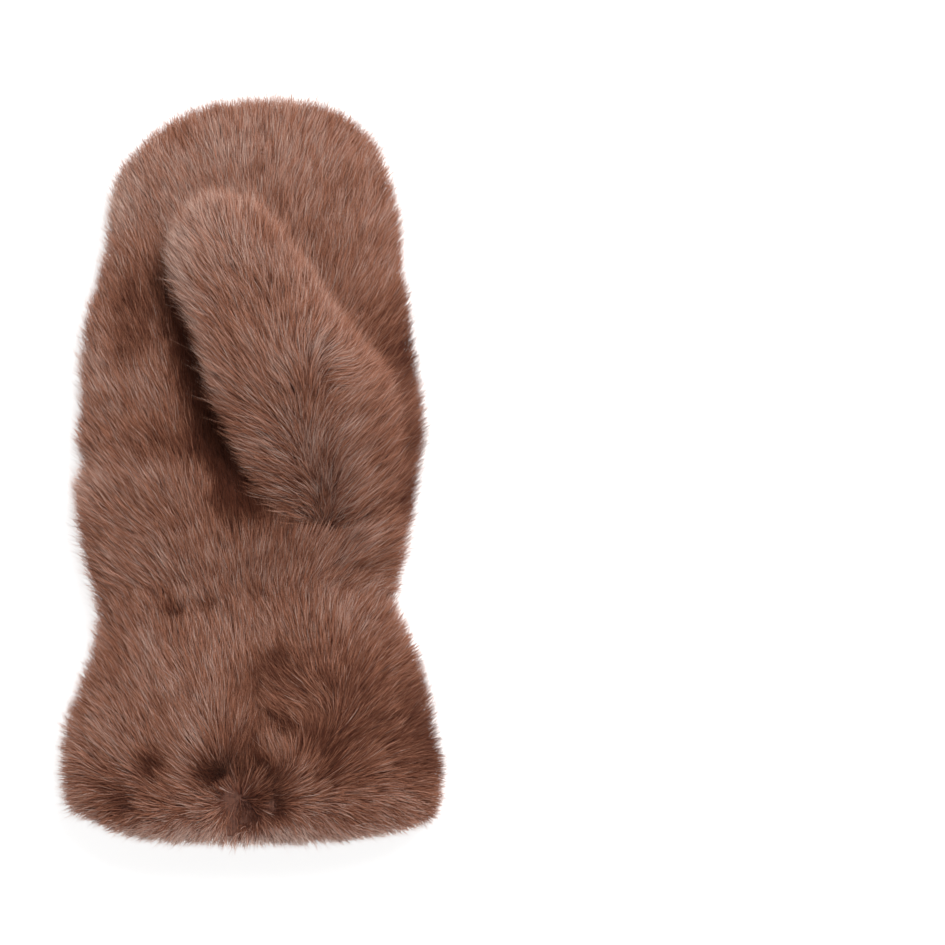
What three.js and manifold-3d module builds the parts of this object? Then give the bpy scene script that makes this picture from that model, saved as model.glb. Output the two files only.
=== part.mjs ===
// A mitten of long-pile fur, lying on its back with the palm and the thumb up.
// Millimetres. +X runs across the palm to the thumb's side, +Y to the fingertips and +Z up from the surface.

import * as THREE from "three";
import { mergeVertices } from "three/addons/utils/BufferGeometryUtils.js";
import Module from "manifold-3d";

const wasm = await Module();
wasm.setup();

// Driving dimensions
const hemEnd = -140;
const fingertip = 140;
const wristSeam = -47;
const seamHeight = 19; // the side seam between the back and the palm runs at this height
const furWall = 9; // pile, backing and fleece together
const seamGap = 0.3; // between pieces that are sewn or lie together
const bodySquareness = 2.5; // exponent of the hand's and the cuff's rounded sections
const fingertipStart = 80; // where the hand begins to close to the fingertips
const fingertipRoundness = 2.3;

// The hem's corners lie nearer to the wrist than its middle
const hemBow = { depth: 12, power: 4 };

// The elastic at the wrist draws the fur into gathers
const gathers = { count: 9, depth: 0.03, reach: 13 };

// Hand and cuff from the hem to the fingertips. A bottom under 0 is pressed flat on the surface.
const bodySections = [
  { y: -134, centre: 0.0, halfWidth: 72.0, top: 47, bottom: -3 },
  { y: -118, centre: -0.2, halfWidth: 71.7, top: 51, bottom: -4 },
  { y: -104, centre: -0.5, halfWidth: 70.2, top: 51, bottom: -4 },
  { y: -90, centre: 0.5, halfWidth: 66.8, top: 48, bottom: -3 },
  { y: -76, centre: 0.8, halfWidth: 63.0, top: 44, bottom: -2 },
  { y: -62, centre: -0.5, halfWidth: 59.3, top: 40, bottom: 1 },
  { y: -47, centre: -2.6, halfWidth: 58.6, top: 38, bottom: 3 },
  { y: -32, centre: -3.2, halfWidth: 61.0, top: 41, bottom: 0 },
  { y: -9, centre: -3.7, halfWidth: 64.2, top: 44, bottom: -4 },
  { y: 20, centre: -1.1, halfWidth: 64.9, top: 43, bottom: -4 },
  { y: 50, centre: -1.9, halfWidth: 62.7, top: 41, bottom: -4 },
  { y: 80, centre: 0.2, halfWidth: 57.0, top: 39, bottom: -4 },
  { y: 110, centre: 0.8, halfWidth: 56.3, top: 37, bottom: -4 },
  { y: 140, centre: 7.0, halfWidth: 56.0, top: 35, bottom: -4 },
];

// Hollows pressed into the palm side: depth, and the half widths across and along the hand
const palmDents = [
  { x: -16, y: 12, depth: 6, wide: 13, long: 34 }, // beside the thumb
  { x: -1, y: -98, depth: 4, wide: 7, long: 22 }, // the cuff's closing seam
  { x: -8, y: -118, depth: 4, wide: 9, long: 7 }, // where that seam meets the hem
];

// The thumb starts at this point inside the hand and leans over the palm
const thumbBase = { x: 36.5, y: -10.9 };
const thumbLean = THREE.MathUtils.degToRad(24.5);
const thumbSquareness = 2.2;
const thumbClosing = { base: 5, baseEnd: -22, tip: 97, tipEnd: 125, roundness: 2 };

// Thumb sections along its leaning line: sideways shift, height of the centre, half width and half depth
const thumbSections = [
  { along: -22, shift: -6.0, height: 22, halfWidth: 27.0, halfDepth: 21 },
  { along: 0, shift: -4.0, height: 27, halfWidth: 29.0, halfDepth: 22 },
  { along: 19, shift: -2.5, height: 38, halfWidth: 32.0, halfDepth: 23 },
  { along: 34, shift: -1.5, height: 46, halfWidth: 33.0, halfDepth: 22 },
  { along: 49, shift: -1.8, height: 52, halfWidth: 31.5, halfDepth: 20 },
  { along: 65, shift: -2.0, height: 55, halfWidth: 28.3, halfDepth: 18 },
  { along: 84, shift: -2.4, height: 55, halfWidth: 25.6, halfDepth: 17 },
  { along: 97, shift: -3.5, height: 54, halfWidth: 24.0, halfDepth: 16.5 },
  { along: 125, shift: -3.0, height: 52, halfWidth: 23.0, halfDepth: 15.5 },
];

// The seam between the thumb's two pieces, seen from above
const thumbSeam = { top: [17.8, 86.5], bottom: [27.1, -22.1] };

// How finely the surfaces are divided
const bodySides = 48;
const thumbSides = 28;

const pile = new THREE.Color("#7c5749");
const pileLight = new THREE.Color("#8a6352");

// The rows of a table as a smooth function of one column.
function smoothTable(rows, along) {
  const columns = Object.keys(rows[0]).filter((name) => name !== along);
  const places = rows.map((row) => row[along]);
  const values = rows.flatMap((row) => columns.map((name) => row[name]));
  const found = new Float64Array(columns.length);
  const spline = new THREE.CubicInterpolant(places, values, columns.length, found);
  return (place) => {
    spline.evaluate(place);
    return Object.fromEntries(columns.map((name, i) => [name, found[i]]));
  };
}

const bodyAt = smoothTable(bodySections, "y");
const thumbAt = smoothTable(thumbSections, "along");

// A cosine or sine raised to the power that turns a circle into a rounded rectangle.
function squared(value, squareness) {
  return Math.sign(value) * Math.abs(value) ** (2 / squareness);
}

// Evenly spaced values from first to last.
function spread(first, last, steps) {
  return Array.from({ length: steps + 1 }, (_, i) => THREE.MathUtils.lerp(first, last, i / steps));
}

// The angles of one ring.
function turns(sides) {
  return spread(0, 2 * Math.PI, sides).slice(0, sides);
}

// How deep the palm side is pressed in at a point.
function palmDent(x, y) {
  return palmDents.reduce((sum, dent) => {
    const across = (x - dent.x) / dent.wide;
    const along = (y - dent.y) / dent.long;
    return sum + dent.depth * Math.exp(-(across ** 2) - along ** 2);
  }, 0);
}

// One ring of the hand or cuff, inset from the outer form. Closing runs to a quarter turn at the fingertips.
function bodyRing({ y, inset, closing = 0 }) {
  const shape = bodyAt(y);
  const shrink = squared(Math.cos(closing), fingertipRoundness);
  const bow = hemBow.depth * THREE.MathUtils.clamp((wristSeam - y) / (wristSeam - hemEnd), 0, 1);
  const gathered = gathers.depth * Math.exp(-(((y - wristSeam) / gathers.reach) ** 2));
  return turns(bodySides).map((turn) => {
    const across = squared(Math.cos(turn), bodySquareness);
    const rise = squared(Math.sin(turn), bodySquareness);
    const size = shrink * (1 - gathered * (1 + Math.cos(gathers.count * turn)));
    const reach = rise > 0 ? shape.top - seamHeight : seamHeight - shape.bottom;
    const x = shape.centre + (shape.halfWidth - inset) * size * across;
    const place = y + bow * Math.abs(across) ** hemBow.power;
    const pressed = rise > 0 ? palmDent(x, place) * rise : 0;
    const z = seamHeight + (reach - inset) * size * rise - pressed;
    return new THREE.Vector3(x, place, Math.max(z, inset));
  });
}

// The rings that close the hand at the fingertips, and the point they end in.
function fingertipRings(inset, steps) {
  const reach = fingertip - inset - fingertipStart;
  const rings = spread(0, Math.PI / 2, steps).slice(1, steps).map((closing) => {
    const y = fingertipStart + reach * squared(Math.sin(closing), fingertipRoundness);
    return bodyRing({ y, inset, closing });
  });
  const point = new THREE.Vector3(bodyAt(fingertip).centre, fingertip - inset, seamHeight);
  return { rings, point };
}

// One ring of the thumb. Closing runs to a quarter turn at either end.
function thumbRing({ along, inset, closing = 0 }) {
  const shape = thumbAt(along);
  const shrink = squared(Math.cos(closing), thumbClosing.roundness);
  return turns(thumbSides).map((turn) => {
    const side = shape.shift + (shape.halfWidth - inset) * shrink * squared(Math.cos(turn), thumbSquareness);
    const rise = (shape.halfDepth - inset) * shrink * squared(Math.sin(turn), thumbSquareness);
    return thumbPoint(along, side, shape.height + rise);
  });
}

// A point given along and beside the thumb's leaning line.
function thumbPoint(along, side, z) {
  const x = thumbBase.x - along * Math.sin(thumbLean) + side * Math.cos(thumbLean);
  const y = thumbBase.y + along * Math.cos(thumbLean) + side * Math.sin(thumbLean);
  return new THREE.Vector3(x, y, z);
}

// A closed surface through rings that all turn the same way, with a point at either end.
function closedLoft(firstPoint, rings, lastPoint) {
  const sides = rings[0].length;
  const points = [firstPoint, ...rings.flat(), lastPoint];
  const last = points.length - 1;
  const at = (ring, side) => 1 + ring * sides + (side % sides);
  const faces = [];
  for (let side = 0; side < sides; side++) {
    faces.push(at(0, side), at(0, side + 1), 0);
    for (let ring = 0; ring + 1 < rings.length; ring++) {
      faces.push(at(ring, side), at(ring + 1, side), at(ring, side + 1));
      faces.push(at(ring + 1, side), at(ring + 1, side + 1), at(ring, side + 1));
    }
    faces.push(at(rings.length - 1, side), last, at(rings.length - 1, side + 1));
  }
  const geometry = new THREE.BufferGeometry().setFromPoints(points);
  geometry.setIndex(faces);
  return solidFrom(geometry);
}

// A closed geometry as a solid that can be cut and joined.
function solidFrom(geometry) {
  geometry.deleteAttribute("normal");
  geometry.deleteAttribute("uv");
  const merged = mergeVertices(geometry, 1e-4);
  const vertProperties = new Float32Array(merged.attributes.position.array);
  const triVerts = new Uint32Array(merged.index.array);
  return new wasm.Manifold(new wasm.Mesh({ numProp: 3, vertProperties, triVerts }));
}

// A solid as a named mesh.
function pieceFrom(name, solid, color) {
  const { vertProperties, triVerts } = solid.getMesh();
  const geometry = new THREE.BufferGeometry();
  geometry.setAttribute("position", new THREE.BufferAttribute(vertProperties, 3));
  geometry.setIndex(new THREE.BufferAttribute(triVerts, 1));
  geometry.computeVertexNormals();
  const finish = new THREE.MeshStandardMaterial({ color, roughness: 0.95, metalness: 0 });
  const mesh = new THREE.Mesh(geometry, finish);
  mesh.name = name;
  return mesh;
}

// Everything on one side of an upright or level plane that faces along its normal.
function halfSpace(point, normal) {
  const size = 4 * (fingertip - hemEnd);
  const box = new THREE.BoxGeometry(size, size, size).toNonIndexed();
  const facing = new THREE.Quaternion().setFromUnitVectors(new THREE.Vector3(0, 0, 1), normal);
  box.translate(0, 0, size / 2).applyQuaternion(facing).translate(point.x, point.y, point.z);
  return solidFrom(box);
}

// A solid cut in two at a plane, with the seam's gap between its halves.
function cutAt(solid, point, normal) {
  const step = normal.clone().multiplyScalar(seamGap / 2);
  const ahead = solid.intersect(halfSpace(point.clone().add(step), normal));
  const behind = solid.intersect(halfSpace(point.clone().sub(step), normal.clone().negate()));
  return { ahead, behind };
}

// Hand and cuff as one wall, from inside the fingertips over the round hem to the outer fingertips.
function bodyWall() {
  const lipDepth = furWall / 2;
  const lipStart = hemEnd + lipDepth;
  const inner = fingertipRings(furWall, 6);
  const outer = fingertipRings(0, 9);
  const innerRings = spread(fingertipStart, lipStart, 12).map((y) => bodyRing({ y, inset: furWall }));
  const lipRings = spread(0, Math.PI, 6).slice(1, 6).map((turn) => bodyRing({
    y: lipStart - lipDepth * Math.sin(turn),
    inset: lipDepth * (1 + Math.cos(turn)),
  }));
  const outerRings = spread(lipStart, fingertipStart, 21).map((y) => bodyRing({ y, inset: 0 }));
  const rings = [...inner.rings.reverse(), ...innerRings, ...lipRings, ...outerRings, ...outer.rings];
  return closedLoft(inner.point, rings, outer.point);
}

// The space that the hand and cuff take up, hollow and all, grown by the seam's gap.
function bodySpace() {
  const tip = fingertipRings(-seamGap, 9);
  const rings = spread(hemEnd, fingertipStart, 22).map((y) => bodyRing({ y, inset: -seamGap }));
  const mouth = new THREE.Vector3(0, hemEnd, seamHeight);
  return closedLoft(mouth, [...rings, ...tip.rings], tip.point);
}

// The thumb's outer form or, inset, its hollow, which reaches down into the hollow of the hand.
function thumbSolid(inset, steps) {
  const { base, baseEnd, tip, tipEnd } = thumbClosing;
  const baseReach = base - baseEnd - inset;
  const tipReach = tipEnd - tip - inset;
  const baseRings = spread(Math.PI / 2, 0, steps).slice(1).map((closing) =>
    thumbRing({ along: base - baseReach * Math.sin(closing), inset, closing }));
  const middleRings = spread(base, tip, 2 * steps).slice(1).map((along) => thumbRing({ along, inset }));
  const tipRings = spread(0, Math.PI / 2, steps).slice(1, steps).map((closing) =>
    thumbRing({ along: tip + tipReach * Math.sin(closing), inset, closing }));
  const basePoint = thumbPoint(base - baseReach, thumbAt(baseEnd).shift, thumbAt(baseEnd).height);
  const tipPoint = thumbPoint(tip + tipReach, thumbAt(tipEnd).shift, thumbAt(tipEnd).height);
  return closedLoft(basePoint, [...baseRings, ...middleRings, ...tipRings], tipPoint);
}

// The hand's two panels and the cuff, cut from one wall at the wrist seam and the side seam.
function bodyPieces(thumbHollow) {
  const wristPoint = new THREE.Vector3(0, wristSeam, 0);
  const sidePoint = new THREE.Vector3(0, 0, seamHeight);
  const atWrist = cutAt(bodyWall(), wristPoint, new THREE.Vector3(0, 1, 0));
  const atSide = cutAt(atWrist.ahead, sidePoint, new THREE.Vector3(0, 0, 1));
  return [
    pieceFrom("hand_back", atSide.behind, pile),
    pieceFrom("hand_palm", atSide.ahead.subtract(thumbHollow), pile),
    pieceFrom("cuff", atWrist.behind, pile),
  ];
}

// The thumb's front and side pieces, cut at its seam and trimmed to the palm that they are sewn to.
function thumbPieces(thumbHollow) {
  const [topX, topY] = thumbSeam.top;
  const [bottomX, bottomY] = thumbSeam.bottom;
  const point = new THREE.Vector3(topX, topY, 0);
  const normal = new THREE.Vector3(topY - bottomY, bottomX - topX, 0).normalize();
  const wall = thumbSolid(0, 8).subtract(thumbHollow).subtract(bodySpace());
  const halves = cutAt(wall, point, normal);
  return [
    pieceFrom("thumb_front", halves.behind, pileLight),
    pieceFrom("thumb_side", halves.ahead, pile),
  ];
}

const thumbHollow = thumbSolid(furWall, 5);
const mitten = new THREE.Group();
mitten.name = "mitten";
mitten.add(...bodyPieces(thumbHollow), ...thumbPieces(thumbHollow));

export default mitten;
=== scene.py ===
import bmesh
import bpy
import itertools
import numpy as np
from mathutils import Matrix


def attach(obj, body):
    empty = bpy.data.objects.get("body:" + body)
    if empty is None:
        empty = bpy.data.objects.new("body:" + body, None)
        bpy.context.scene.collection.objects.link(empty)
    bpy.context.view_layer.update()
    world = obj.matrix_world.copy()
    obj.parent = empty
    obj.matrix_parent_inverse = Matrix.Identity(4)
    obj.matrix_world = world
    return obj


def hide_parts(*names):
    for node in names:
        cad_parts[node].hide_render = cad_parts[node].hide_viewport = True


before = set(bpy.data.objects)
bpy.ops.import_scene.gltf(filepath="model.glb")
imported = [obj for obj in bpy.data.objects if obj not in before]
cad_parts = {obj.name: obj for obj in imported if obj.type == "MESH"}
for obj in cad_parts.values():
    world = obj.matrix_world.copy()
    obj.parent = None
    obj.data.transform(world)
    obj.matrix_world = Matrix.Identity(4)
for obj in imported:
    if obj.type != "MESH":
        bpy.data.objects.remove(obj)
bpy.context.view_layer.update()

mm = 0.001  # shapes are worked out in millimetres and put into the meshes in metres
quarterTurn = np.pi / 2

# Forms of the hand, the cuff and the thumb

mitten = {
    "hemEnd": -140, "wristSeam": -47, "fingertipStart": 80, "fingertip": 140, "seamHeight": 19,
    "squareness": 2.5, "tipRoundness": 2.45,
    "leftBow": 13.5, "leftPower": 4.5,  # the hem's corners lie this much nearer to the wrist, and the
    "rightBow": 8.6, "rightPower": 3.8,  # power says how sharply it curves to them
    "gathers": 9, "gatherDepth": 0.015, "gatherReach": 13,
    "furWall": 9,  # from the tips of the pile to the inner face of its backing
    "seamGap": 0.3,
}

bodySections = {  # places along the mitten, with the middle, half width, top and bottom there
    "along": [-134, -118, -104, -90, -76, -62, -47, -32, -9, 20, 50, 80, 110, 140],
    "centre": [0, -0.2, -0.5, 0.5, 0.8, -0.5, -2.6, -3.2, -3.7, -1.1, -1.9, 0.2, 0.8, 7],
    "halfWidth": [72, 71.7, 70.2, 66.8, 63, 59.3, 58.6, 61, 64.2, 64.9, 62.7, 57, 56.3, 56],
    "top": [47, 51, 51, 48, 44, 40, 38, 41, 44, 43, 41, 39, 37, 35],
    "bottom": [-3, -4, -4, -3, -2, 1, 3, 0, -4, -4, -4, -4, -4, -4],
}

palmDents = [  # middle of the dent, its depth, and how wide and long it is
    {"x": -16, "y": 12, "depth": 6, "wide": 13, "long": 34},
    {"x": -1, "y": -98, "depth": 4, "wide": 7, "long": 22},
    {"x": -8, "y": -118, "depth": 4, "wide": 9, "long": 7},
]

thumb = {
    "baseX": 36.5, "baseY": -10.9, "lean": np.radians(24.5),
    "base": 5, "baseEnd": -22, "tip": 97, "tipEnd": 125, "squareness": 2.2,
    "seamFoot": (27.1, -22.1), "seamTop": (17.8, 86.5),
}

tipAlong = mitten["fingertipStart"] + (mitten["fingertip"] - mitten["fingertipStart"]) * quarterTurn
thumbStart = thumb["base"] - (thumb["base"] - thumb["baseEnd"]) * quarterTurn
thumbStop = thumb["tip"] + (thumb["tipEnd"] - thumb["tip"]) * quarterTurn

thumbSections = {  # places along the leaning thumb
    "along": [-22, 0, 19, 34, 49, 65, 84, 97, 125],
    "shift": [-6, -4, -2.5, -1.5, -1.8, -2, -2.4, -3.5, -3],
    "height": [22, 27, 38, 46, 52, 55, 55, 54, 52],
    "halfWidth": [27, 29, 32, 33, 31.5, 28.3, 25.6, 24, 23],
    "halfDepth": [21, 22, 23, 22, 20, 18, 17, 16.5, 15.5],
}


def squared(value, power):
    # sign(v) |v|^(2 / power): rounds a circle towards a square
    return np.sign(value) * np.abs(value) ** (2 / power)


def through(knots, values, at):
    # A cubic through every knot, with the slope there taken from the knots on both sides
    knots = np.array(knots, float)
    values = np.array(values, float)
    slopes = np.empty_like(values)
    slopes[1:-1] = (values[2:] - values[:-2]) / (knots[2:] - knots[:-2])
    slopes[0] = 1.5 * (values[1] - values[0]) / (knots[1] - knots[0]) - 0.5 * slopes[1]
    slopes[-1] = 1.5 * (values[-1] - values[-2]) / (knots[-1] - knots[-2]) - 0.5 * slopes[-2]
    at = np.clip(at, knots[0], knots[-1])
    left = np.clip(np.searchsorted(knots, at) - 1, 0, len(knots) - 2)
    span = knots[left + 1] - knots[left]
    t = (at - knots[left]) / span
    rise = values[left] * (1 + 2 * t) * (1 - t) ** 2 + values[left + 1] * t ** 2 * (3 - 2 * t)
    return rise + span * (slopes[left] * t * (1 - t) ** 2 - slopes[left + 1] * t ** 2 * (1 - t))


def sectionRow(sections, at):
    # Each column of the table, smoothed, at those places
    return {name: through(sections["along"], sections[name], at) for name in sections}


def bell(offset, reach):
    # exp(-(offset / reach)^2)
    return np.exp(-(offset / reach) ** 2)


def dentDepth(x, y):
    # The sum of the dents' bells
    return sum(d["depth"] * bell(x - d["x"], d["wide"]) * bell(y - d["y"], d["long"]) for d in palmDents)


def bodyPoint(along, turn, inset):
    # x = centre + (halfWidth - inset) size cos'(turn), z = seam + (reach - inset) size sin'(turn), where
    # cos' and sin' are squared, and size falls to nothing round the fingertips
    start = mitten["fingertipStart"]
    tipLength = mitten["fingertip"] - start
    closing = np.clip((along - start) / tipLength, 0, quarterTurn)
    rounded = start + (tipLength - inset) * squared(np.sin(closing), mitten["tipRoundness"])
    place = np.where(along < start, along, rounded)
    row = sectionRow(bodySections, place)
    gathered = mitten["gatherDepth"] * bell(place - mitten["wristSeam"], mitten["gatherReach"])
    gathered = gathered * (1 + np.cos(mitten["gathers"] * turn))
    size = squared(np.cos(closing), mitten["tipRoundness"]) * (1 - gathered)
    across = squared(np.cos(turn), mitten["squareness"])
    rise = squared(np.sin(turn), mitten["squareness"])
    seam = mitten["seamHeight"]
    reach = np.where(rise > 0, row["top"] - seam, seam - row["bottom"])
    cuffShare = np.clip((mitten["wristSeam"] - place) / (mitten["wristSeam"] - mitten["hemEnd"]), 0, 1)
    x = row["centre"] + (row["halfWidth"] - inset) * size * across
    leftBow = mitten["leftBow"] * np.abs(across) ** mitten["leftPower"]
    rightBow = mitten["rightBow"] * np.abs(across) ** mitten["rightPower"]
    y = place + cuffShare * np.where(across < 0, leftBow, rightBow)
    z = seam + (reach - inset) * size * rise - dentDepth(x, y) * np.clip(rise, 0, 1)
    return np.stack([x, y, np.maximum(z, inset)], -1)


def thumbPlace(along, side, z):
    # A point so far along the thumb's leaning line and so far to its right
    x = thumb["baseX"] - along * np.sin(thumb["lean"]) + side * np.cos(thumb["lean"])
    y = thumb["baseY"] + along * np.cos(thumb["lean"]) + side * np.sin(thumb["lean"])
    return np.stack(np.broadcast_arrays(x, y, z), -1)


def thumbPoint(along, turn, inset):
    # side = shift + (halfWidth - inset) shrink cos'(turn) and z = height + (halfDepth - inset) shrink
    # sin'(turn), where shrink falls to nothing at both ends
    tipLength = thumb["tipEnd"] - thumb["tip"] - inset
    baseLength = thumb["base"] - thumb["baseEnd"] - inset
    tipTurn = np.clip((along - thumb["tip"]) / (thumb["tipEnd"] - thumb["tip"]), 0, quarterTurn)
    baseTurn = np.clip((thumb["base"] - along) / (thumb["base"] - thumb["baseEnd"]), 0, quarterTurn)
    place = np.clip(along, thumb["base"], thumb["tip"])
    place = place + tipLength * np.sin(tipTurn) - baseLength * np.sin(baseTurn)
    shrink = np.cos(tipTurn) * np.cos(baseTurn)
    row = sectionRow(thumbSections, place)
    side = row["shift"] + (row["halfWidth"] - inset) * shrink * squared(np.cos(turn), thumb["squareness"])
    z = row["height"] + (row["halfDepth"] - inset) * shrink * squared(np.sin(turn), thumb["squareness"])
    return thumbPlace(place, side, z)


def thumbDepth(points):
    # Over 1 outside the thumb's form, under 1 inside it: |side / half width|^power, plus the same for the
    # height, plus the squared share past each end
    x = points[..., 0] - thumb["baseX"]
    y = points[..., 1] - thumb["baseY"]
    along = -x * np.sin(thumb["lean"]) + y * np.cos(thumb["lean"])
    side = x * np.cos(thumb["lean"]) + y * np.sin(thumb["lean"])
    row = sectionRow(thumbSections, along)
    power = thumb["squareness"]
    past = np.maximum(along - thumb["tip"], 0) / (thumb["tipEnd"] - thumb["tip"])
    before = np.maximum(thumb["base"] - along, 0) / (thumb["base"] - thumb["baseEnd"])
    wide = np.abs((side - row["shift"]) / row["halfWidth"]) ** power
    deep = np.abs((points[..., 2] - row["height"]) / row["halfDepth"]) ** power
    return wide + deep + past ** 2 + before ** 2


def bodyDepth(points):
    # Over 1 outside the hand's form, under 1 inside it: the same sum without ends
    row = sectionRow(bodySections, points[..., 1])
    seam = mitten["seamHeight"]
    rise = points[..., 2] - seam
    top = row["top"] - dentDepth(points[..., 0], points[..., 1])
    reach = np.where(rise > 0, top - seam, seam - row["bottom"])
    wide = np.abs((points[..., 0] - row["centre"]) / row["halfWidth"])
    return wide ** mitten["squareness"] + np.abs(rise / reach) ** mitten["squareness"]


# The backing that the pile grows from

pile = {
    "palmDepth": 5.5, "sideDepth": 6, "underDepth": 4, "endDepth": 6.5,  # of the backing below the tips
    "sidePower": 0.7,  # how sharply the depth changes towards the sides
    "seamDepth": 1.6, "seamReach": 4, "seamFade": 6,  # the backing dips along its seams
    "thumbDepth": 5.5,
    "flankDepth": 2.5, "flankTop": 62, "flankFade": 20,  # how much deeper it is low on the thumb's left
    "leastWall": 0.8,  # of the backing, however deep the dips are
}

pits = {  # hollows in the pile, their hair painted darker as shade
    "x": [-13, -3, 7, 5, 13, -29, -15, -34, -47, -8, -65],
    "y": [-115, -128, -124, -114, -99, -56.5, -54.5, -113, -122, 12, 0],
    "reach": [4, 5, 4, 4, 5, 3.5, 3, 5, 6, 9, 6],
    "depth": [2.5, 2.5, 2.5, 2, 2.5, 2.5, 2.5, 2, 2, 2.5, 3],
    "dark": [0.9, 1, 0.8, 0.7, 0.7, 0.5, 0.6, 0.7, 0.4, 0.4, 0.2],  # how much darker their hair is painted, as shade in the hollow
}

cuffSeam = {"y": [-140, -112, -104, -99, -82, -70, -47], "x": [-8, -8, -1, 2, 4, 4, 3]}


def pitSum(x, y, column):
    # The sum of the pits' bells, each times its value in that column
    total = 0
    for pitX, pitY, reach, value in zip(pits["x"], pits["y"], pits["reach"], pits[column]):
        total = total + value * bell(x - pitX, reach) * bell(y - pitY, reach)
    return total


def backingInset(along, turn):
    # Deepest at the sides, least under the mitten, with dips along the cuff's closing seam and in the pits
    up = np.sin(turn)
    face = np.where(up > 0, pile["palmDepth"], pile["underDepth"])
    inset = face + (pile["sideDepth"] - face) * (1 - np.abs(up) ** pile["sidePower"])
    row = sectionRow(bodySections, along)
    x = row["centre"] + row["halfWidth"] * squared(np.cos(turn), mitten["squareness"])
    seamX = through(cuffSeam["y"], cuffSeam["x"], along)
    onCuff = np.clip((mitten["wristSeam"] - along) / pile["seamFade"], 0, 1) * np.clip(up * 3, 0, 1)
    dips = pile["seamDepth"] * onCuff * bell(x - seamX, pile["seamReach"])
    dips = dips + pitSum(x, along, "depth") * np.clip(1.5 + 2 * up, 0, 1)
    atEnd = np.clip((along - mitten["fingertipStart"]) / (tipAlong - mitten["fingertipStart"]), 0, 1) ** 2
    inset = inset + (pile["endDepth"] - inset) * atEnd
    return np.minimum(inset + dips, mitten["furWall"] - pile["leastWall"])


def pastThumbSeam(points):
    # How far right of the seam between the thumb's two pieces a place is, seen from above
    (footX, footY), (topX, topY) = thumb["seamFoot"], thumb["seamTop"]
    return points[..., 0] - footX - (points[..., 1] - footY) / (topY - footY) * (topX - footX)


thumbWeb = {  # the pile bridges the thumb's side piece to the hand
    "rise": 9, "reach": 0.5, "top": 42, "topFade": 14, "foot": -47, "footFade": 42, "seamFade": 10,
    "levelFade": 6,
}

thumbCrease = {  # the line under the thumb's left edge, seen from above
    "topX": -33, "topY": 90, "footX": -2, "footY": -12, "reach": 8.5,
    "level": 43,  # painted shade darkens the pile below this height, and a painted highlight lightens the thumb's edge above it
    "paintedShade": 2, "shadeFade": 8, "paintedHighlight": 0.3, "highlightFade": 6,
    "growth": 2.2, "delay": 0.25, "least": 0.1,  # how its depth grows from the thumb's tip to its foot
}


def creasePlace(points):
    # How far down the line under the thumb's left edge a place lies, from 0 to 1, and a bell over its
    # distance from that line
    runX, runY = thumbCrease["footX"] - thumbCrease["topX"], thumbCrease["footY"] - thumbCrease["topY"]
    fromX, fromY = points[..., 0] - thumbCrease["topX"], points[..., 1] - thumbCrease["topY"]
    share = np.clip((fromX * runX + fromY * runY) / (runX ** 2 + runY ** 2), 0, 1)
    apart = np.hypot(fromX - share * runX, fromY - share * runY)
    return share, bell(apart, thumbCrease["reach"])


def creaseShare(points):
    # How deep in the crease a place is: near x (growth share - delay), with a least value and at most 1
    share, near = creasePlace(points)
    depth = thumbCrease["growth"] * share - thumbCrease["delay"]
    return near * np.clip(depth, thumbCrease["least"], 1)


def webShare(points):
    # 1 against the thumb's side piece, falling to nothing away from it, past its top and its foot, below
    # the side seam and left of the thumb's seam
    beside = bell(np.maximum(thumbDepth(points) - 1, 0), thumbWeb["reach"])
    right = np.clip(pastThumbSeam(points) / thumbWeb["seamFade"], 0, 1)
    low = np.clip((thumbWeb["top"] - points[..., 1]) / thumbWeb["topFade"], 0, 1)
    low = low * np.clip((points[..., 1] - thumbWeb["foot"]) / thumbWeb["footFade"], 0, 1)
    above = np.clip((points[..., 2] - mitten["seamHeight"]) / thumbWeb["levelFade"], 0, 1)
    return beside * right * low * above


def handSurface(along, turn, grown=0):
    # The outer face of the hand's backing, raised where the pile bridges to the thumb
    points = bodyPoint(along, turn, backingInset(along, turn) - grown)
    points[..., 2] += thumbWeb["rise"] * webShare(points)
    return points


def thumbInset(along, turn):
    # Level, with a dip along the seam between the thumb's two pieces, and deeper low on the left flank
    point = thumbPoint(along, turn, pile["thumbDepth"])
    seam = bell(pastThumbSeam(point), pile["seamReach"]) * np.clip(np.sin(turn) * 3, 0, 1)
    flank = np.clip(-np.cos(turn), 0, 1) * np.clip((pile["flankTop"] - along) / pile["flankFade"], 0, 1)
    return pile["thumbDepth"] + pile["seamDepth"] * seam + pile["flankDepth"] * flank


def gridFaces(index):
    # Quads over a grid of vertex numbers
    corners = [index[:-1, :-1], index[1:, :-1], index[1:, 1:], index[:-1, 1:]]
    return np.stack(corners, -1).reshape(-1, 4)


def addPiece(name, points, faces):
    # A mesh object at the origin, from points in millimetres
    mesh = bpy.data.meshes.new(name)
    mesh.from_pydata((points.reshape(-1, 3) * mm).tolist(), [], faces.tolist())
    piece = bpy.data.objects.new(name, mesh)
    bpy.context.scene.collection.objects.link(piece)
    return piece


def mergeDoubles(piece, distance=0.002 * mm):
    # Points at one place become one, and faces without width go
    work = bmesh.new()
    work.from_mesh(piece.data)
    bmesh.ops.remove_doubles(work, verts=work.verts, dist=distance)
    bmesh.ops.dissolve_degenerate(work, edges=work.edges, dist=distance)
    work.to_mesh(piece.data)
    work.free()


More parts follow.
